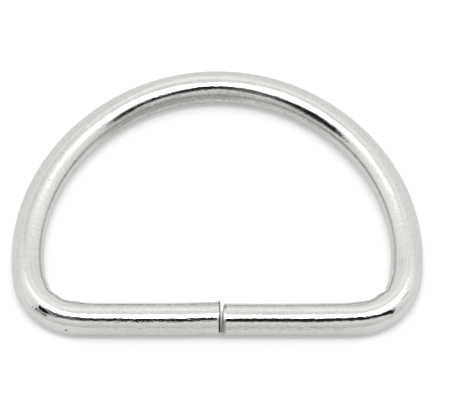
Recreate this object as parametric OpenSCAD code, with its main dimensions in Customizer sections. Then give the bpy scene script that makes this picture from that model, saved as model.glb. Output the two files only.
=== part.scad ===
// A bent-wire D ring for a strap: a straight bar, two tight corners and a round crown.
// It lies flat, with the bar towards -Y, the crown towards +Y and its underside on Z = 0.
// The wire's middle line is a chain of tangent arcs, so every size below can change by itself.

/* [Ring] */
// Clear width inside the ring, which is the width of the strap that it takes
inside_width = 32; // [28:0.5:38]
// Clear depth inside the ring, from the bar to the top of the crown
inside_depth = 22; // [18:0.5:28]
// Diameter of the wire
wire_d = 3; // [2:0.1:4]

/* [Bends] */
// Inside radius of the two corners at the ends of the bar
corner_r = 3.25; // [2:0.25:4.5]
// Inside radius of the arc at the top of the crown
crown_r = 14.7; // [13:0.1:16]
// Angle that the crown's arc covers on each side of the middle
crown_angle = 32.5; // [25:0.5:38]
// How much the bent stretches lost of the wire's radius as they were drawn round
bend_thinning = 0.01; // [0.01:0.01:0.05]

/* [Joint] */
// Distance from the middle of the bar to the cut left end of the wire
joint_offset = 0.3; // [-4:0.1:4]
// Gap between the two cut ends at the inside of the bar
joint_gap_inside = 0.3; // [0.2:0.02:0.6]
// Gap between the two cut ends at the outside of the bar
joint_gap_outside = 0.12; // [0.1:0.02:0.6]
// Length of the left end that has sprung inwards
spring_length = 4.6; // [2:0.1:6]
// How far the cut left end stands inwards of the bar's line
spring_step = 0.12; // [0.04:0.02:0.3]
// Width of the bevel round both cut ends
end_bevel = 0.12; // [0.05:0.01:0.25]

/* [Hidden] */
$fn = 96;

wire_r = wire_d / 2;
bar_y = -(inside_depth + wire_d) / 2;

// The crown's arc and the two flank arcs, which meet it tangentially and reach the full width
half_width = inside_width / 2 + wire_r;
crown_bend_r = crown_r + wire_r;
flank_bend_r = (half_width - crown_bend_r * sin(crown_angle)) / (1 - sin(crown_angle));
crown_y = bar_y + inside_depth + wire_d - crown_bend_r;
flank_x = -(flank_bend_r - crown_bend_r) * sin(crown_angle);
flank_y = crown_y - (flank_bend_r - crown_bend_r) * cos(crown_angle);

// The corners touch the bar's line from above and the flank arcs from inside
corner_bend_r = corner_r + wire_r;
corner_y = bar_y + corner_bend_r;
flank_to_corner = flank_bend_r - corner_bend_r;
corner_x = flank_x + sqrt(flank_to_corner ^ 2 - (corner_y - flank_y) ^ 2);
corner_angle = atan2(corner_y - flank_y, corner_x - flank_x);

// The left end curves inwards from the bar's line and reaches its cut spring_step off that line
spring_bend_r = (spring_length ^ 2 + spring_step ^ 2) / (2 * spring_step);
spring_x = joint_offset - spring_length;
right_end_x = joint_offset + (joint_gap_inside + joint_gap_outside) / 2;
right_end_lean = atan((joint_gap_inside - joint_gap_outside) / wire_d);

// A thinned bend runs this far into the full wire at its ends, and past a cut
seat = 0.05;

// A stretch of wire curved round a point, between two directions in degrees
module arc(x, y, bend_r, from, to, section_r) {
    translate([x, y, wire_r])
        rotate([0, 0, from])
            rotate_extrude(angle = to - from)
                translate([bend_r, 0])
                    circle(r = section_r);
}

// A thinned bend, seated in the full wire at its start and, if asked, at its far end
module bend(x, y, bend_r, from, to, far_seat = seat) {
    start = from - seat / bend_r * 180 / PI;
    end = to + far_seat / bend_r * 180 / PI;
    arc(x, y, bend_r, start, end, wire_r - bend_thinning);
}

// A straight stretch of wire on the bar's line
module straight(from_x, to_x) {
    translate([from_x, bar_y, wire_r])
        rotate([0, 90, 0])
            cylinder(r = wire_r, h = to_x - from_x);
}

// Corner and flank on the right-hand side; the left one is its mirror image
module side() {
    bend(corner_x, corner_y, corner_bend_r, -90, corner_angle);
    arc(flank_x, flank_y, flank_bend_r, corner_angle, 90 - crown_angle, wire_r);
}

// What the shears take off an end: all that is beyond the cut, and a bevel round its rim.
// The cut faces +X before it is turned.
module cut(x, y, turn) {
    translate([x, y, wire_r])
        rotate([0, 0, turn]) {
            translate([0, -wire_d, -wire_d])
                cube([wire_d, 2 * wire_d, 2 * wire_d]);
            rotate([0, 90, 0])
                rotate_extrude()
                    polygon([
                        [wire_r - end_bevel, 0],
                        [wire_r + end_bevel, -2 * end_bevel],
                        [wire_r + end_bevel, 0]
                    ]);
        }
}

// Left half of the bar, whose end has sprung inwards
module left_half() {
    spring_angle = asin((spring_length + seat) / (spring_bend_r - wire_r));
    straight(-corner_x, spring_x);
    difference() {
        bend(spring_x, bar_y + spring_bend_r, spring_bend_r, -90, spring_angle - 90, 0);
        cut(joint_offset, bar_y + spring_step, 0);
    }
}

// Right half of the bar, whose end leans away from the left one towards the inside
module right_half() {
    difference() {
        straight(joint_offset, corner_x);
        cut(right_end_x, bar_y, 180 - right_end_lean);
    }
}

// The whole ring: one wire, bent round and left unwelded where its ends meet
module d_ring() {
    color([0.78, 0.78, 0.76])
        union() {
            left_half();
            right_half();
            side();
            mirror([1, 0, 0])
                side();
            bend(0, crown_y, crown_bend_r, 90 - crown_angle, 90 + crown_angle);
        }
}

d_ring();
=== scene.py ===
# %% [markdown]
# # A bent-wire D ring, nickel plated, on a white table
# The real thing is one length of round steel wire, bent round a former, cut off where its
# ends meet and plated with nickel. This notebook loads the measured solid, models the wire
# again with the small marks that bending leaves, gives it a plated finish and lights it
# like a small thing photographed in a white tent.

# %% Load the measured ring
import math

import bmesh
import bpy
from mathutils import Matrix, Vector, noise


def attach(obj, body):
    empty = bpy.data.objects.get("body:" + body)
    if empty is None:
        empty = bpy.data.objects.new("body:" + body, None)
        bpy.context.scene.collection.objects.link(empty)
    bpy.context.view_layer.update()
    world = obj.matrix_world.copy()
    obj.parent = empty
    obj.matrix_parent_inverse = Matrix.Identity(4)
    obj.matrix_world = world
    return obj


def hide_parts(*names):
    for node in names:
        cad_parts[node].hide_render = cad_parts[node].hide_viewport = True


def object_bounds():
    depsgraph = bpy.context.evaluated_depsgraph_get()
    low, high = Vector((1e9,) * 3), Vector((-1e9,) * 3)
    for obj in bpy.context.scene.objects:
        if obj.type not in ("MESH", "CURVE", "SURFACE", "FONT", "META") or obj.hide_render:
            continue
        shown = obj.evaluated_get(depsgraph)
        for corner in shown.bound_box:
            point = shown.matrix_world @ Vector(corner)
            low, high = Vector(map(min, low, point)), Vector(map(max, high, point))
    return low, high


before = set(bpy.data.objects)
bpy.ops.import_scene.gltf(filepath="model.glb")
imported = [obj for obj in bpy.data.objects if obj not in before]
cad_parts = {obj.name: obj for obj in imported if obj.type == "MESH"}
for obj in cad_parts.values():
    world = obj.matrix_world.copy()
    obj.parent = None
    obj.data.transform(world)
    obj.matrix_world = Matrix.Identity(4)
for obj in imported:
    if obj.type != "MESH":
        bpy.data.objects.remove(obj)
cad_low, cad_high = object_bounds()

MM = 0.001
print("the solid measures", [round(v / MM, 3) for v in cad_high - cad_low], "mm")

# %% [markdown]
# ## The sizes
# The wire's thickness, and the width and depth over all, are read from the measured
# solid, so the new surface can't drift away from it. The bends' radii can't be read off a
# box, so they are repeated here by name. Everything else follows from these.

# %% Sizes of the wire and its bends
wire_d = cad_high.z - cad_low.z
wire_r = wire_d / 2
inside_width = (cad_high.x - cad_low.x) - 2 * wire_d
inside_depth = (cad_high.y - cad_low.y) - 2 * wire_d

corner_r = 3.25 * MM
crown_r = 14.7 * MM
crown_angle = math.radians(32.5)
joint_offset = 0.3 * MM
joint_gap_inside = 0.3 * MM
joint_gap_outside = 0.12 * MM
spring_length = 4.6 * MM
spring_step = 0.12 * MM
end_bevel = 0.12 * MM
print(f"wire {wire_d / MM:.2f} mm, clear {inside_width / MM:.2f} by {inside_depth / MM:.2f} mm")

# %% [markdown]
# ## The middle line
# A bent wire is a chain of straight and round stretches that run smoothly into each
# other. Two stretches meet smoothly where their centres and the meeting point lie on one
# line, and that fixes the flanks' radius and where each corner ends. The left end of the
# bar has sprung inwards a little, which is one more very wide bend.

# %% Where the stretches meet
half_width = inside_width / 2 + wire_r
bar_y = cad_low.y + wire_r
crown_bend_r = crown_r + wire_r
flank_bend_r = (half_width - crown_bend_r * math.sin(crown_angle)) / (1 - math.sin(crown_angle))
crown_y = bar_y + inside_depth + wire_d - crown_bend_r
flank_x = (flank_bend_r - crown_bend_r) * math.sin(crown_angle)
flank_y = crown_y - (flank_bend_r - crown_bend_r) * math.cos(crown_angle)
corner_bend_r = corner_r + wire_r
corner_y = bar_y + corner_bend_r
corner_x = math.sqrt((flank_bend_r - corner_bend_r) ** 2 - (corner_y - flank_y) ** 2) - flank_x
corner_angle = math.atan2(corner_y - flank_y, corner_x + flank_x)
spring_bend_r = (spring_length**2 + spring_step**2) / (2 * spring_step)
spring_x = joint_offset - spring_length
spring_angle = math.asin(spring_length / spring_bend_r)
right_end_x = joint_offset + (joint_gap_inside + joint_gap_outside) / 2
right_end_lean = math.atan((joint_gap_inside - joint_gap_outside) / wire_d)
print(f"flanks bend round {flank_bend_r / MM:.2f} mm, the crown round {crown_bend_r / MM:.2f} mm")

# %% [markdown]
# ## Stretches that know their place
# Walking from the left cut end, every bend turns the same way round, clockwise seen from
# above. A curve object with a round bevel could follow such a line too, but short named
# stretches let later steps ask of any point on the skin where along the wire it lies and
# which way is inwards, and both the pressed marks and the finish need that.


# %% Two kinds of stretch
class Bend:
    """A round stretch, walked clockwise about its centre from one direction to another."""

    def __init__(self, x, y, bend_r, start, end):
        self.centre = Vector((x, y))
        self.bend_r = bend_r
        self.start = start
        self.end = end
        self.length = bend_r * (start - end)

    def nearest(self, x, y):
        """Distance walked and the middle line's point and inward direction nearest a point."""
        away = Vector((x, y)) - self.centre
        middle = (self.start + self.end) / 2
        turned = math.atan2(away.y, away.x) - middle
        turned = (turned + math.pi) % (2 * math.pi) - math.pi
        half_turn = (self.start - self.end) / 2
        direction = middle + max(-half_turn, min(half_turn, turned))
        outward = Vector((math.cos(direction), math.sin(direction)))
        walked = self.bend_r * (self.start - direction)
        return walked, self.centre + outward * self.bend_r, -outward


class Straight:
    """A straight stretch of the bar, walked towards -X."""

    def __init__(self, from_x, to_x):
        self.from_x = from_x
        self.to_x = to_x
        self.length = from_x - to_x

    def nearest(self, x, y):
        """As for a bend."""
        place = max(self.to_x, min(self.from_x, x))
        return self.from_x - place, Vector((place, bar_y)), Vector((0, 1))


# %% The chain of stretches
quarter = math.pi / 2
left_corner_end = -math.pi - corner_angle
stretches = [
    Bend(spring_x, bar_y + spring_bend_r, spring_bend_r, spring_angle - quarter, -quarter),
    Straight(spring_x, -corner_x),
    Bend(-corner_x, corner_y, corner_bend_r, -quarter, left_corner_end),
    Bend(flank_x, flank_y, flank_bend_r, math.pi - corner_angle, quarter + crown_angle),
    Bend(0, crown_y, crown_bend_r, quarter + crown_angle, quarter - crown_angle),
    Bend(-flank_x, flank_y, flank_bend_r, quarter - crown_angle, corner_angle),
    Bend(corner_x, corner_y, corner_bend_r, corner_angle, -quarter),
    Straight(corner_x, right_end_x),
]
wire_length = sum(stretch.length for stretch in stretches)
print(f"{len(stretches)} stretches, {wire_length / MM:.1f} mm of wire")

# %% [markdown]
# ## The wire's skin
# A ring of points is drawn round the wire at the left cut end, and each stretch spins it
# on, or carries it straight on, in short steps. Short steps matter on a mirror: the eye
# reads every flat facet in a reflection long before it shows in the outline.

# %% Spin the section along the stretches
SECTION_POINTS = 64
STEP = 0.2 * MM


def walk(bm, ring, stretch):
    """Extends the tube from its last ring of edges over one stretch."""
    steps = max(2, round(stretch.length / STEP))
    motion = {"cent": Vector(), "dvec": Vector((-stretch.length / steps, 0, 0)), "angle": 0.0}
    if isinstance(stretch, Bend):
        centre = Vector((*stretch.centre, wire_r))
        motion = {"cent": centre, "dvec": Vector(), "angle": stretch.end - stretch.start}
    spun = bmesh.ops.spin(
        bm, geom=ring, axis=Vector((0, 0, 1)), steps=steps, use_merge=False, use_duplicate=False, **motion
    )
    return [part for part in spun["geom_last"] if isinstance(part, bmesh.types.BMEdge)]


bm = bmesh.new()
first_centre = Matrix.Translation(Vector((joint_offset, bar_y + spring_step, wire_r)))
facing = Matrix.Rotation(spring_angle, 4, "Z") @ Matrix.Rotation(quarter, 4, "Y")
bmesh.ops.create_circle(
    bm,
    cap_ends=False,
    radius=wire_r,
    segments=SECTION_POINTS,
    matrix=first_centre @ facing,
)
first_ring = list(bm.edges)
last_ring = first_ring
for stretch in stretches:
    last_ring = walk(bm, last_ring, stretch)
print(len(bm.verts), "points in", len(bm.verts) // SECTION_POINTS, "rings")

# %% [markdown]
# ## The cut ends
# Shears leave one end square and the other leaning, with a low lip drawn out on the side
# where the blade came through, and tumbling rounds both rims. Sliding the last ring's
# points along the wire until they lie in the cut's face is what a slanted cut does to a
# tube. Then each hole is filled and its rim bevelled, the right one more than the left.

# %% Slant, close and round the ends
LIP = 0.075 * MM
LIP_POWER = 0.5
right_bevel = 1.5 * end_bevel
BEVEL_STEPS = 4

left_points = {point for edge in first_ring for point in edge.verts}
right_points = {point for edge in last_ring for point in edge.verts}
for point in left_points:
    point.co.x = joint_offset
for point in right_points:
    outwards = bar_y - point.co.y
    lip = LIP * max(0.0, outwards / wire_r) ** LIP_POWER
    point.co.x = right_end_x - outwards * math.tan(right_end_lean) - lip
for ring in (first_ring, last_ring):
    bmesh.ops.edgeloop_fill(bm, edges=ring)
bmesh.ops.recalc_face_normals(bm, faces=bm.faces)
for ring, rounding in ((first_ring, end_bevel), (last_ring, right_bevel)):
    bmesh.ops.bevel(
        bm,
        geom=ring,
        offset=rounding,
        offset_type="OFFSET",
        affect="EDGES",
        segments=BEVEL_STEPS,
        profile=0.5,
        material=-1,
    )
print("closed:", all(len(edge.link_faces) == 2 for edge in bm.edges))

# %% [markdown]
# ## Where a point lies on the wire
# The marks and the finish are laid out along the wire and round it, so this asks all
# stretches for their nearest point and keeps the closest. The stretch that starts on the
# other side of the joint isn't asked, because it lies nearer than the right one in places.

# %% Find a point's place on the wire
starts = [sum(stretch.length for stretch in stretches[:i]) for i in range(len(stretches))]
gap_x = joint_offset + joint_gap_outside / 3


def place_on_wire(co):
    """Distance along the wire, inward offset from its middle and inward direction."""
    beyond_joint = 0 if co.x > gap_x else len(stretches) - 1
    best = None
    for number, stretch in enumerate(stretches):
        if number == beyond_joint:
            continue
        walked, middle, inward = stretch.nearest(co.x, co.y)
        offset = Vector((co.x, co.y)) - middle
        if best is None or offset.length < best[0]:
            best = (offset.length, starts[number] + walked, offset.dot(inward), inward)
    return best[1:]


def smooth_step(low, high, value):
    """0 below low, 1 above high and a smooth rise between them."""
    share = max(0.0, min(1.0, (value - low) / (high - low)))
    return share * share * (3 - 2 * share)


places = {point: place_on_wire(point.co) for point in bm.verts}
print("placed", len(places), "points")

# %% [markdown]
# ## Marks of bending
# Metal on the inside of a tight bend is squeezed together, so it swells a little, and the
# former's edges print shallow steps into the swelling. Both are read off the inner outline
# of the photo as a few heights along the wire, and eased from one to the next. The shears
# have also raised a small burr on the inner side of the left end.

# %% Swell the inner side of the corners
# Each pair is a distance along the wire and the swelling's height there, in millimetres.
SWELLING = [
    (0.0, 0.09), (1.5, 0.1), (3.5, 0.085), (5.5, 0.055), (11.0, 0.06), (12.2, 0.085),
    (13.5, 0.26), (14.6, 0.15), (15.4, 0.12), (16.1, 0.17), (17.4, 0.05), (18.9, 0.155),
    (20.0, 0.075), (22.5, 0.0), (77.5, 0.0), (79.0, 0.03), (80.5, 0.045), (81.7, 0.07),
    (82.5, 0.055), (83.2, -0.05), (84.4, 0.16), (85.4, 0.09), (86.9, 0.175), (87.5, 0.17),
    (88.6, 0.07), (89.4, 0.04), (94.0, 0.0),
]
SWELLING_SIDE = (0.3, 0.8)
BURR = 0.1 * MM
BURR_LENGTH = 0.3 * MM
BURR_SIDE = (0.5, 0.8)
BURR_TOP = (0.1, 0.35)


def eased(points, place):
    """Height at a place along given points, easing from each point to the next."""
    for (low, before), (high, after) in zip(points, points[1:]):
        if place <= high:
            return before + (after - before) * smooth_step(low, high, place)
    return points[-1][1]


for point, (along, inward_offset, inward) in places.items():
    facing_in = inward_offset / wire_r
    facing_up = (point.co.z - wire_r) / wire_r
    push = eased(SWELLING, along / MM) * MM * smooth_step(*SWELLING_SIDE, facing_in)
    raised = smooth_step(*BURR_SIDE, facing_in) * smooth_step(*BURR_TOP, facing_up)
    push += BURR * max(0.0, 1 - along / BURR_LENGTH) * raised
    point.co.x += inward.x * push
    point.co.y += inward.y * push
print("swollen by up to", max(height for place, height in SWELLING), "mm")

# %% [markdown]
# ## Shoulders pressed flat
# Where the wire was held or drawn round the former its section isn't quite round. The
# outer shoulders of the corners are pressed by up to a sixth of a millimetre, and the
# inner shoulders of the flanks and the bar beside the joint by a few hundredths. It can
# hardly be seen in the outline, but it moves, widens and ends the reflections.

# %% Press the shoulders
# Each flat is the angle of its middle and half its span in degrees, then its depth in
# millimetres at distances along the wire. Angles run from 0 outwards over 90 on top.
FLATS = [
    (28.0, 65.0, [(7.0, 0.0), (12.0, 0.05), (14.2, 0.16), (15.0, 0.14), (15.7, 0.07), (17.2, 0.0)]),
    (50.0, 25.0, [(14.6, 0.0), (15.6, 0.02), (16.2, 0.02), (17.1, 0.085), (20.0, 0.0)]),
    (42.0, 36.0, [(-1.0, 0.03), (0.3, 0.03), (3.5, 0.0)]),
    (28.0, 65.0, [(84.7, 0.0), (85.4, 0.03), (86.4, 0.13), (87.3, 0.12), (88.6, 0.045), (91.0, 0.0)]),
    (112.0, 40.0, [(18.0, 0.0), (21.5, 0.05), (28.0, 0.05), (32.0, 0.0)]),
    (112.0, 40.0, [(69.0, 0.0), (73.0, 0.055), (79.0, 0.055), (82.0, 0.0)]),
    (150.0, 50.0, [(60.5, 0.0), (63.0, 0.03), (67.5, 0.03), (71.0, 0.0)]),
]


def out_of_wire(point, inward_offset, inward):
    """Direction from the wire's middle line to a point of its skin."""
    height = point.co.z - wire_r
    return Vector((inward.x * inward_offset, inward.y * inward_offset, height)).normalized()


for point, (along, inward_offset, inward) in places.items():
    angle = math.degrees(math.atan2(point.co.z - wire_r, -inward_offset))
    depth = 0.0
    for middle, half_span, depths in FLATS:
        start, end = depths[0][0], depths[-1][0]
        if start < along / MM < end and abs(angle - middle) < half_span:
            share = (1 + math.cos(math.pi * (angle - middle) / half_span)) / 2
            depth += eased(depths, along / MM) * MM * share
    point.co -= out_of_wire(point, inward_offset, inward) * depth
print(len(FLATS), "shoulders pressed")

# %% [markdown]
# ## A skin that is never quite true
# Drawn wire wanders by a few microns, and on a bright finish that is enough to make a
# reflected line waver. The pit, on the outer side of the left corner, is a shallow dent
# of half a millimetre across.

# %% Let the skin wander and press the pit
WANDER = 0.004 * MM
WANDER_LENGTH = 2.6 * MM
PIT_ALONG = 13.95 * MM
PIT_TURN = math.radians(85.0)
PIT_R = 0.25 * MM
PIT_DEPTH = 0.03 * MM

for point, (along, inward_offset, inward) in places.items():
    height = point.co.z - wire_r
    seed = Vector((along / WANDER_LENGTH, inward_offset / wire_r, height / wire_r))
    swell = WANDER * (noise.noise(seed) - 1)
    off_pit = math.atan2(-inward_offset, height) - PIT_TURN
    to_pit = math.hypot(along - PIT_ALONG, off_pit * wire_r)
    swell -= PIT_DEPTH * (1 - smooth_step(0.0, PIT_R, to_pit))
    point.co += out_of_wire(point, inward_offset, inward) * swell
print("skin wanders by", WANDER / MM, "mm")

# %% [markdown]
# ## A map of the wire
# Scratches from the drawing die run along the wire, whatever way it bends afterwards. A
# UV map with the distance along in U and the turn round the wire in V, both in
# millimetres, lets the finish follow them. The turn is 0 on top and grows outwards, and
# the seam lies underneath.

# %% Unroll the skin
uv_layer = bm.loops.layers.uv.new("wire")
for face in bm.faces:
    rows = []
    for loop in face.loops:
        along, inward_offset, inward = places[loop.vert]
        turn = math.atan2(-inward_offset, loop.vert.co.z - wire_r)
        rows.append((along, turn))
    turns = [turn for along, turn in rows]
    crosses_seam = max(turns) - min(turns) > math.pi
    for loop, (along, turn) in zip(face.loops, rows):
        if crosses_seam and turn < 0:
            turn += 2 * math.pi
        loop[uv_layer].uv = (along / MM, turn * wire_r / MM)
    face.smooth = len(face.verts) <= 4
print("unrolled", len(bm.faces), "faces")

# %% [markdown]
# ## One order for every run
# Spinning and bevelling leave the points and faces in an order that can change from run
# to run, though the shape doesn't. Sorting them by where they lie makes the same mesh
# each time, to the last byte.


# %% Sort the mesh and make the piece
def sort_by_place(elements, place):
    """Puts points or faces in the order of their places."""
    in_order = sorted(elements, key=place)
    rank = {element: number for number, element in enumerate(in_order)}
    elements.sort(key=lambda element: rank[element])


sort_by_place(bm.verts, lambda point: tuple(point.co))
sort_by_place(bm.faces, lambda face: tuple(face.calc_center_median()))

mesh = bpy.data.meshes.new("d_ring_wire")
bm.to_mesh(mesh)
bm.free()
ring = bpy.data.objects.new("d_ring_wire", mesh)
bpy.context.scene.collection.objects.link(ring)
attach(ring, "root")
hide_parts("d_ring")
print(ring.name, "has", len(mesh.polygons), "faces")

# %% [markdown]
# ## Writing shader maths as sums
# A finish is arithmetic on patterns. This small class wraps a socket, so that `1 - mask`
# or `grain * 0.3` adds the Math node by itself and the lines below read like formulas.


# %% A socket that can be added and multiplied
class Field:
    """A number or colour that varies over a surface: one output socket of a node tree."""

    def __init__(self, shading, socket):
        self.shading = shading
        self.socket = socket

    def combine(self, operation, first, second):
        return self.shading.node("ShaderNodeMath", {"operation": operation}, {0: first, 1: second})

    def __add__(self, other):
        return self.combine("ADD", self, other)

    def __radd__(self, other):
        return self.combine("ADD", other, self)

    def __sub__(self, other):
        return self.combine("SUBTRACT", self, other)

    def __rsub__(self, other):
        return self.combine("SUBTRACT", other, self)

    def __mul__(self, other):
        return self.combine("MULTIPLY", self, other)

    def __rmul__(self, other):
        return self.combine("MULTIPLY", other, self)

    def __truediv__(self, other):
        return self.combine("DIVIDE", self, other)

    def __pow__(self, other):
        return self.combine("POWER", self, other)

    def __abs__(self):
        return self.combine("ABSOLUTE", self, 0.0)


# %% [markdown]
# ## Adding nodes by one method
# Every other node comes from `node`, which takes its settings and then its inputs. The
# methods after it name the few combinations that the finish and the tent use over and
# over: soft edges, noise, a line through listed points and a mix of two colours.


# %% A node tree that is filled by one method
class Shading:
    """The node tree of a material or a world."""

    def __init__(self, tree):
        self.tree = tree
        tree.nodes.clear()

    def node(self, kind, settings, inputs, output=0):
        """Adds a node: its settings first, then each input's value or link."""
        made = self.tree.nodes.new(kind)
        for name, value in settings.items():
            if name == "stops":
                for _ in range(len(value) - 2):
                    made.color_ramp.elements.new(0.5)
                for element, (position, grey) in zip(made.color_ramp.elements, value):
                    element.position = position
                    element.color = (grey, grey, grey, 1.0)
            else:
                setattr(made, name, value)
        for name, value in inputs.items():
            if isinstance(value, Field):
                self.tree.links.new(value.socket, made.inputs[name])
            else:
                made.inputs[name].default_value = value
        return Field(self, made.outputs[output]) if made.outputs else None

    def rise(self, value, low, high):
        """0 where value is below low, 1 above high and smooth between them."""
        return self.node(
            "ShaderNodeMapRange",
            {"interpolation_type": "SMOOTHSTEP", "clamp": True},
            {"Value": value, "From Min": low, "From Max": high, "To Min": 0.0, "To Max": 1.0},
        )

    def fall(self, value, low, high):
        """1 where value is below low, 0 above high: the reverse of rise."""
        return 1 - self.rise(value, low, high)

    def within(self, value, low, high, soft):
        """1 where value lies between low and high, with edges of a given softness."""
        return self.rise(value, low - soft, low + soft) * self.fall(value, high - soft, high + soft)

    def distance(self, x, y):
        """Length of the line from the origin to a place."""
        return (x**2.0 + y**2.0) ** 0.5

    def noise(self, place, scale, detail=2.0, roughness=0.5):
        """Grey noise from 0 to 1 at a place."""
        sockets = {"Vector": place, "Scale": scale, "Detail": detail, "Roughness": roughness}
        return self.node("ShaderNodeTexNoise", {"normalize": True}, sockets)

    def stretched(self, place, scale):
        """A place with each of its three axes scaled."""
        return self.node("ShaderNodeVectorMath", {"operation": "MULTIPLY"}, {0: place, 1: scale})

    def axes(self, vector, count=3):
        """The first numbers of a vector, one field each."""
        sockets = {"Vector": vector}
        return [self.node("ShaderNodeSeparateXYZ", {}, sockets, output=axis) for axis in range(count)]

    def trace(self, value, points):
        """A line through listed points, read off at a value."""
        first = points[0][0]
        span = points[-1][0] - first
        lowest = min(height for place, height in points)
        climb = max(height for place, height in points) - lowest
        stops = [((place - first) / span, (height - lowest) / climb) for place, height in points]
        share = self.node("ShaderNodeValToRGB", {"stops": stops}, {"Fac": (value - first) / span})
        return lowest + share * climb

    def mix(self, share, first, second):
        """The first colour, turning into the second as the share goes from 0 to 1."""
        sockets = {"Factor": share, "A": first, "B": second}
        return self.node("ShaderNodeMix", {"data_type": "RGBA"}, sockets, output="Result")


# %% [markdown]
# ## Nickel over drawn steel
# Nickel is a slightly warm grey mirror. This plate is bright but a little grainy, since
# the drawn steel under it wasn't polished first, and it returns a little over half of the
# light. Inside the crown, where little metal is deposited, it is dull, and where the
# shears cut the wire dark steel shows. So the finish is three colours and many soft masks
# that say where each of them lies.

# %% Where the patterns of the finish are laid
NICKEL = (0.543, 0.539, 0.526, 1.0)
# The dull colour also paints shade and reflected shade, and the dark one also the gap's shade.
DULL_NICKEL_AND_SHADE = (0.295, 0.286, 0.262, 1.0)
BARE_STEEL_AND_SHADE = (0.04, 0.037, 0.034, 1.0)
EDGE_TINT = (0.9, 0.9, 0.9, 1.0)

nickel = bpy.data.materials.new("nickel_plate")
nickel.use_nodes = True
skin = Shading(nickel.node_tree)
on_wire = skin.node("ShaderNodeUVMap", {"uv_map": "wire"}, {})
along, across = skin.axes(on_wire, 2)
turn = across / (wire_r / MM)
side = skin.node("ShaderNodeMath", {"operation": "SINE"}, {0: turn})
top = skin.node("ShaderNodeMath", {"operation": "COSINE"}, {0: turn})
straightened = {"X": along, "Y": side * (wire_r / MM), "Z": top * (wire_r / MM)}
on_skin = skin.node("ShaderNodeCombineXYZ", {}, straightened)
angle_round = turn * (-180 / math.pi) + 90
print("a point's place on the wire needs", len(nickel.node_tree.nodes), "nodes")

# %% [markdown]
# ## Patterns of drawing and plating
# Noise laid straight on the map would show a join at its seam, so it is laid on the
# straightened wire, a round rod along X. Squeezing the rod across makes streaks along it,
# as the drawing die leaves them. The plating bath adds peel, grain and pebble, which run
# no special way. Scales are in waves per millimetre.

# %% Streaks, peel, grain and pebble
streaks = skin.noise(skin.stretched(on_skin, (0.4, 5.0, 5.0)), 1.0, detail=3.0)
fine_streaks = skin.noise(skin.stretched(on_skin, (0.9, 13.0, 13.0)), 1.0, detail=1.0)
die_lines = skin.noise(skin.stretched(on_skin, (0.12, 6.0, 6.0)), 1.0, detail=1.0)
peel = skin.noise(skin.stretched(on_skin, (2.0, 3.0, 3.0)), 1.0, detail=2.0)
pebble = skin.noise(skin.stretched(on_skin, (4.5, 6.5, 6.5)), 1.0, detail=1.0)
grain = skin.noise(on_skin, 2.6, detail=5.0, roughness=0.62)
mottle = skin.rise(peel, 0.4, 0.7) * 0.5 + skin.rise(fine_streaks, 0.45, 0.75) * 0.5
speckle = skin.rise(pebble, 0.4, 0.7)
print("patterns laid, now", len(nickel.node_tree.nodes), "nodes")

# %% [markdown]
# ## Stretches that look different
# The straight bar kept its drawn skin, the corners were polished by the former, the
# flanks took a coarser grain and the crown hung where the plate is thin. Each mask is 1
# on its own stretch, and the dull one only on the crown's inner side. Numbers are
# millimetres along the wire from the left cut end.

# %% Masks for the stretches
CROWN = (38.0, 63.0)
BETWEEN_CORNERS = (20.5, 79.5)
BETWEEN_FLANKS = (36.0, 66.0)
LEFT_CORNER = (13.5, 19.5)
RIGHT_CORNER = (80.5, 86.5)
LEFT_BAR_END = (10.0, 13.0)
RIGHT_BAR_START = (87.0, 90.0)
CROWN_MIDDLE = (51.0, 55.0)
INNER_SIDE = (0.48, 0.84)

in_crown = skin.within(along, *CROWN, 3.0)
off_flanks = skin.within(along, *BETWEEN_FLANKS, 2.0)
on_flanks = skin.within(along, *BETWEEN_CORNERS, 2.5) * (1 - off_flanks)
in_corners = skin.within(along, *LEFT_CORNER, 1.0) + skin.within(along, *RIGHT_CORNER, 1.0)
on_right_bar = skin.rise(along, *RIGHT_BAR_START)
on_bar = skin.fall(along, *LEFT_BAR_END) + on_right_bar
right_of_crown = skin.rise(along, *CROWN_MIDDLE)
dull = skin.rise(0 - side, *INNER_SIDE) * in_crown
print("stretches masked, now", len(nickel.node_tree.nodes), "nodes")

# %% [markdown]
# ## Painted shade lines and the tools' marks
# A dark line of painted reflected shade runs along the inner side, nearly all the way
# round, where the mirror shows the ring's own shadow and its far side. A painted dark line
# lies inside the crown and another along the bar's outer side, where the mirror shows the
# dark horizon. A darker line runs along the top of the left flank, and the right corner
# has one short scratch. A line that wanders is drawn by a list of places along the wire
# and the angle that it runs at there.

# %% Painted fold shade, left flank line, painted crown and bar lines, scratch
# Angles run from 0 outwards over 90 on top to 180 inwards, turns in radians from the top.
PAINTED_FOLD_LINE = [
    (0, 119.0), (12, 119.0), (16, 130.0), (25, 142.0), (36, 152.0), (50, 156.0), (63, 152.0),
    (67, 146.0), (75, 139.0), (83, 129.0), (88, 117.0), (100, 117.0),
]
PAINTED_FOLD_STRENGTH = [
    (0, 0.35), (12, 0.35), (15, 0.6), (22, 0.45), (28, 0.45), (34, 0.75), (40, 0.0), (50, 0.0),
    (54, 0.4), (60, 0.5), (64, 0.75), (70, 0.7), (77, 0.5), (84, 0.65), (89, 0.35), (100, 0.35),
]
PAINTED_FOLD_EDGE = (1.5, 7.5)
LEFT_FLANK_LINE = [(18, 76.0), (25, 78.0), (33, 87.0), (40, 88.0)]
LEFT_FLANK_STRETCH = (22.0, 37.0)
LEFT_FLANK_EDGE = (2.0, 9.0)
CROWN_SHADE_TURN = (-1.38, -0.98)
BAR_HORIZON_TURN = (1.08, 1.24)
SCRATCH_STRETCH = (82.5, 83.4)
SCRATCH_ACROSS = 0.84
SCRATCH_MIDDLE = 83.0
SCRATCH_SLOPE = 0.04
SCRATCH_EDGE = (0.015, 0.05)

# Painted shade: a dark line on the inner side, where the mirror shows the ring's own shadow and far side.
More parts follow.
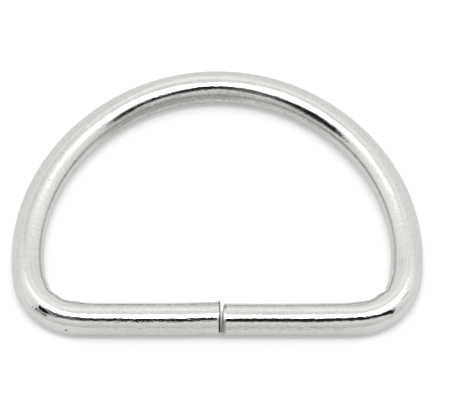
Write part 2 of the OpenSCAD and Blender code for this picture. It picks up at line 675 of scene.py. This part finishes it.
painted_fold_shade = skin.fall(abs(angle_round - skin.trace(along, PAINTED_FOLD_LINE)), *PAINTED_FOLD_EDGE)
painted_fold_shade = painted_fold_shade * skin.trace(along, PAINTED_FOLD_STRENGTH)
# A darker line along the top of the left flank.
left_flank_line = skin.fall(abs(angle_round - skin.trace(along, LEFT_FLANK_LINE)), *LEFT_FLANK_EDGE)
left_flank_line = left_flank_line * skin.within(along, *LEFT_FLANK_STRETCH, 3.0)
# Painted reflection: a dark line inside the crown, where the mirror shows the horizon and the ring's own
# shadow.
crown_painted_shade = skin.within(turn, *CROWN_SHADE_TURN, 0.16) * in_crown * (1 - 0.75 * right_of_crown)
# Painted reflection: a ragged dark line along the bar's outer side, where the mirror shows the dark
# horizon.
bar_painted_horizon = skin.within(turn, *BAR_HORIZON_TURN, 0.1) * (0.3 * on_bar + 0.5 * on_right_bar)
off_scratch = abs(across - SCRATCH_ACROSS + (along - SCRATCH_MIDDLE) * SCRATCH_SLOPE)
scratch = skin.fall(off_scratch, *SCRATCH_EDGE) * skin.within(along, *SCRATCH_STRETCH, 0.15)
print("lines drawn, now", len(nickel.node_tree.nodes), "nodes")

# %% [markdown]
# ## The pit, the cut ends and painted gap shade
# Plate doesn't reach the bottom of a pit, and it covers a cut face badly: the left face
# is torn steel with a ragged border, and both rims are rough. The dark on the left face and
# on the right end's outer rim is also painted shade of the narrow gap between the ends,
# darker towards the outer side. The left end has sprung out of line, but its cut is
# square to the bar, so the border of the torn steel is read from the object's own
# coordinates.

# %% Pit, sheared face with painted gap shade, and rough rims
PIT_DARK = (0.05, 0.13)
FACE_BORDER = (0.13, 0.2)
FACE_STRETCH = (1.0, 2.0)
RIM_SIDE = (0.2, 1.5)
right_end = wire_length / MM

across_pit = across - PIT_TURN * wire_r / MM
pit = skin.fall(skin.distance(along - PIT_ALONG / MM, across_pit), *PIT_DARK)
in_place = skin.node("ShaderNodeTexCoord", {}, {}, output="Object")
place_x = skin.axes(in_place, 1)[0] / MM
# Painted shade: the left cut face is torn steel and also the shade of the gap, darker on the outer side.
sheared_face_and_gap_shade = skin.rise(place_x + peel * 0.08, *FACE_BORDER) * skin.fall(along, *FACE_STRETCH)
sheared_face_and_gap_shade = sheared_face_and_gap_shade * (0.6 + 0.4 * skin.rise(side, 0.2, 0.6)) * skin.fall(turn, 1.5, 1.65)
near_end = skin.fall(along, 0.25, 0.5) * skin.within(turn, 0.2, 1.0, 0.15)
far_end = skin.rise(along, right_end - 0.45, right_end - 0.15)
outer_rim = skin.within(turn, *RIM_SIDE, 0.12)
# Painted shade of the narrow gap on the right end's outer rim, over its rough steel.
far_rim_gap_shade = skin.rise(along, right_end - 0.3, right_end - 0.18) * outer_rim
far_edge_gap_shade = skin.rise(along, right_end - 0.14, right_end - 0.05) * outer_rim
print("pit and ends masked, now", len(nickel.node_tree.nodes), "nodes")

# %% [markdown]
# ## Relief too fine to model
# The patterns are at most a few hundredths of a millimetre deep, so they are bump and not
# geometry. They stand higher on the flanks, left of the joint and where the left corner's
# reflection breaks up, and lower where that corner starts, from the right corner on and
# in the crown.

# %% Height of the fine relief
RELIEF = 0.012 * MM
BROKEN_REFLECTION = (15.0, 16.8)
CALM_LEFT = (12.5, 14.8)
CALM_RIGHT = (84.0, 85.0)
LEFT_OF_JOINT = (1.5, 3.0)

broken = skin.within(along, *BROKEN_REFLECTION, 0.4)
streak_height = 0.5 + 0.1 * in_crown + 2.2 * broken + 1.2 * skin.fall(along, *LEFT_OF_JOINT)
height = streaks * streak_height + fine_streaks * 0.4 + peel * (0.45 + 0.15 * in_crown)
height = height + grain * (0.85 - 0.2 * in_crown + 1.2 * on_flanks)
height = height + pebble * (0.8 - 0.3 * in_crown + 0.6 * on_flanks)
calm = 0.45 * skin.rise(along, *CALM_RIGHT) + 0.4 * skin.within(along, *CALM_LEFT, 0.4)
height = height * (1 - calm - 0.25 * in_crown)
bump = skin.node("ShaderNodeBump", {}, {"Strength": 1.0, "Distance": RELIEF, "Height": height})
print("relief of", RELIEF / MM, "mm")

# %% [markdown]
# ## Colour and shine
# Each pattern and line turns the bright nickel a share of the way to dull nickel, and the
# shares are added up; the fold, crown and bar lines and the right rim among them are
# painted shade. Bare steel, which also paints the gap's shade, goes over the sum. The same
# masks roughen the skin.

# %% Build the surface
tarnish_and_painted_shade = (mottle * 0.2 + speckle * 0.16) * (0.55 + 0.45 * on_bar + 0.2 * in_crown)
tarnish_and_painted_shade = tarnish_and_painted_shade + skin.rise(die_lines, 0.52, 0.68) * 0.16
tarnish_and_painted_shade = tarnish_and_painted_shade + skin.rise(grain, 0.45, 0.65) * on_flanks * 0.15
tarnish_and_painted_shade = tarnish_and_painted_shade * (1 - 0.8 * in_corners - 0.35 * on_flanks)
tarnish_and_painted_shade = tarnish_and_painted_shade + dull * (0.35 * mottle + 0.3 * speckle) * (1 - 0.5 * right_of_crown)
# The crown line, the bar's horizon line, the fold line and the right rim are painted shade and
# reflection, not tarnish.
tarnish_and_painted_shade = tarnish_and_painted_shade + crown_painted_shade * 0.78 + bar_painted_horizon * (0.3 + 0.9 * mottle)
tarnish_and_painted_shade = tarnish_and_painted_shade + far_end * 0.2 + far_rim_gap_shade * 0.6 + painted_fold_shade + left_flank_line * 0.28
bare = sheared_face_and_gap_shade + pit + scratch * 0.55 + far_edge_gap_shade * 0.35
colour = skin.mix(bare, skin.mix(tarnish_and_painted_shade, NICKEL, DULL_NICKEL_AND_SHADE), BARE_STEEL_AND_SHADE)
roughness = 0.05 + mottle * 0.05 + dull * (0.18 + 0.1 * mottle)
roughness = roughness + sheared_face_and_gap_shade * 0.3 + (far_end + near_end) * 0.33
surface = skin.node(
    "ShaderNodeBsdfPrincipled",
    {},
    {
        "Base Color": colour,
        "Metallic": 1.0,
        "Roughness": roughness,
        "Specular Tint": EDGE_TINT,
        "Normal": bump,
    },
)
skin.node("ShaderNodeOutputMaterial", {}, {"Surface": surface})
mesh.materials.append(nickel)
print("finish made with", len(nickel.node_tree.nodes), "nodes")

# %% [markdown]
# ## The white tent
# Small bright things are shot inside a tent of white cloth, because they mirror whatever
# stands round them. Cloth planes could be built round the ring, but a tent is far away
# compared with it, so it is enough to paint the world by direction: pale walls, a lamp
# over the roof, and the dark slot above the front flap, which draws the black line along
# every bend. Dividing a direction by its height gives its place on the roof.

# %% Directions as places on the roof
world = bpy.data.worlds.new("white_tent")
bpy.context.scene.world = world
world.use_nodes = True
tent = Shading(world.node_tree)
direction = tent.node("ShaderNodeTexCoord", {}, {}, output="Generated")
sideways, backwards, upwards = tent.axes(direction)
roof_height = tent.node("ShaderNodeMath", {"operation": "MAXIMUM"}, {0: upwards, 1: 0.02})
roof_x = sideways / roof_height
roof_y = backwards / roof_height
off_middle = abs(roof_x)
from_zenith = tent.distance(roof_x, roof_y)
print("the roof's places need", len(world.node_tree.nodes), "nodes")

# %% [markdown]
# ## The slot over the front flap
# A gap in the cloth is black in a reflection, and a bend squeezes or stretches it. How
# wide the black line is in each place of the photo tells where the slot's two edges run
# over the roof. A little light leaks in on the left. The flap in front is a little dimmer
# than the walls, with a paler sill along the slot, and its foot lies in shadow.

# %% Slot, flap, sill and foot
# Each pair is a place on the roof, across and then back, in units of the roof's height.
SLOT_BACK = [
    (-2.6, -0.93), (-1.9, -0.58), (-1.3, -0.34), (-0.9, -0.25), (-0.7, -0.32),
    (-0.35, -0.56), (-0.1, -0.36), (0.1, -0.36), (0.3, -0.55), (0.76, -0.37),
    (1.18, -0.58), (1.61, -0.92), (2.0, -1.2), (2.6, -1.7),
]
SLOT_FRONT = [
    (-2.6, -2.7), (-1.8, -1.8), (-1.35, -1.5), (-0.9, -1.4), (-0.35, -1.29), (-0.1, -1.08),
    (0.1, -1.08), (0.3, -1.3), (0.65, -1.2), (1.08, -1.14), (1.5, -1.3), (1.82, -1.56),
    (2.6, -2.2),
]
SLOT_ENDS = (-2.5, 2.3)
SLOT_LIGHT = 0.015
LEAK = (-0.62, -0.15)
LEAK_LIGHT = 0.13

past_front = roof_y - tent.trace(roof_x, SLOT_FRONT)
past_back = roof_y - tent.trace(roof_x, SLOT_BACK)
slot = tent.rise(past_front, -0.05, 0.12) * tent.fall(past_back, -0.04, 0.02)
slot = slot * tent.within(roof_x, *SLOT_ENDS, 0.15)
slot_light = SLOT_LIGHT + LEAK_LIGHT * tent.within(roof_x, *LEAK, 0.08)
flap = tent.fall(roof_y, -1.1, -0.7)
sill = tent.within(past_front, -1.3, -0.1, 0.1) * tent.fall(off_middle, 1.5, 2.5)
foot = tent.within(upwards, -0.02, 0.03, 0.012) * tent.rise(0 - backwards, 0.15, 0.6)
print("slot drawn by", len(SLOT_BACK) + len(SLOT_FRONT), "places")

# %% [markdown]
# ## The lamp over the roof
# The lamp's light spreads over the middle of the roof, with a small bright core, a
# wedge-shaped notch at the back where cloth hangs in front of it, a halo to both sides
# and a glow on the back wall.

# %% Lamp, core, halo and glow
LAMP_EDGE = (0.62, 0.9)
LAMP_BACK = (0.3, 0.62)
NOTCH_SLOPE = 1.3
CORE_STRETCH = 2.5
CORE_FORWARDS = 0.2
GLOW_HEIGHT = (0.5, 0.88)
HALO_FRONT = (-0.4, -0.2)
HALO_BACK = (0.38, 0.56)
HALO_SIDES = (1.2, 2.8)

notch = tent.rise(roof_y - off_middle * NOTCH_SLOPE, -0.1, 0.14)
lamp = tent.fall(from_zenith, *LAMP_EDGE) * tent.fall(roof_y, *LAMP_BACK) * (1 - notch)
from_core = tent.distance(roof_x / CORE_STRETCH, roof_y + CORE_FORWARDS)
core = tent.fall(from_core, 0.05, 0.2) * lamp
glow = tent.within(upwards, *GLOW_HEIGHT, 0.06) * tent.rise(backwards, 0.2, 0.5)
glow = glow * (0.15 + 0.85 * tent.fall(off_middle, 0.0, 0.35))
halo = tent.rise(roof_y, *HALO_FRONT) * tent.fall(roof_y - off_middle * 0.3, *HALO_BACK)
halo = halo * tent.fall(off_middle, *HALO_SIDES) * (1 - 0.8 * notch)
print("lamp hung, now", len(world.node_tree.nodes), "nodes")

# %% Light the tent
WALL = 1.235
FLAP = 1.05
LAMP = 2.2
LAMP_CORE = 10.0
BACK_GLOW = 0.34
HALO = 0.22
SILL = 0.2
FOOT_SHADE = 0.75

brightness = WALL + (FLAP - WALL) * flap + SILL * sill + (LAMP - WALL) * lamp + BACK_GLOW * glow
brightness = brightness + HALO * halo * (1 - lamp) + LAMP_CORE * core
brightness = brightness * (1 - (1 - slot_light) * slot) * (1 - FOOT_SHADE * foot)
tent_light = tent.node("ShaderNodeBackground", {}, {"Color": (1, 1, 1, 1), "Strength": brightness})
tent.node("ShaderNodeOutputWorld", {}, {"Surface": tent_light})
print("tent made with", len(world.node_tree.nodes), "nodes")

# %% [markdown]
# ## The table
# A white sheet lies under the ring. It is so bright that it clips to pure white in the
# picture, and only the ring's own soft shadow shows on it. A little light of its own
# keeps that shadow as pale as thin paper lit from all sides does.

# %% Lay the table
TABLE_SIZE = 4.0
PAPER = (0.54, 0.54, 0.54, 1.0)
PAPER_LIGHT = 0.31

table_bm = bmesh.new()
bmesh.ops.create_grid(table_bm, x_segments=1, y_segments=1, size=TABLE_SIZE / 2)
table_mesh = bpy.data.meshes.new("table")
table_bm.to_mesh(table_mesh)
table_bm.free()
table = bpy.data.objects.new("table", table_mesh)
bpy.context.scene.collection.objects.link(table)

paper = bpy.data.materials.new("white_paper")
paper.use_nodes = True
sheet = Shading(paper.node_tree)
matt = sheet.node(
    "ShaderNodeBsdfPrincipled",
    {},
    {
        "Base Color": PAPER,
        "Roughness": 0.9,
        "Specular IOR Level": 0.1,
        "Emission Color": (1.0, 1.0, 1.0, 1.0),
        "Emission Strength": PAPER_LIGHT,
    },
)
sheet.node("ShaderNodeOutputMaterial", {}, {"Surface": matt})
table_mesh.materials.append(paper)
print("table of", TABLE_SIZE, "m")

# %% [markdown]
# ## The camera
# The picture was taken from in front and well above, from far off: both long sides of the
# ring keep their length. A long lens on a distant camera gives the same flat perspective
# and still lets the camera move round the ring for other views. It stays within some two
# metres, so that the ring isn't cut off by the far limit that such views set.

# %% Aim the camera
ELEVATION = math.radians(59.3)
LENS = 1400.0
SENSOR = 36.0
PIXELS_PER_MM = 10.813
IMAGE_WIDTH = 450
AIM = Vector((0.709, 0.307, 1.5)) * MM
NEAREST = 0.01

camera_data = bpy.data.cameras.new("camera")
camera_data.lens = LENS
camera_data.sensor_width = SENSOR
camera_data.clip_start = NEAREST
camera = bpy.data.objects.new("camera", camera_data)
bpy.context.scene.collection.objects.link(camera)
distance = IMAGE_WIDTH / PIXELS_PER_MM * MM * LENS / SENSOR
back = Vector((0, -math.cos(ELEVATION), math.sin(ELEVATION)))
camera.location = AIM + back * distance
camera.rotation_euler = (quarter - ELEVATION, 0, 0)
bpy.context.scene.camera = camera
bpy.context.scene.view_settings.view_transform = "Standard"
print(f"camera {distance:.2f} m away")
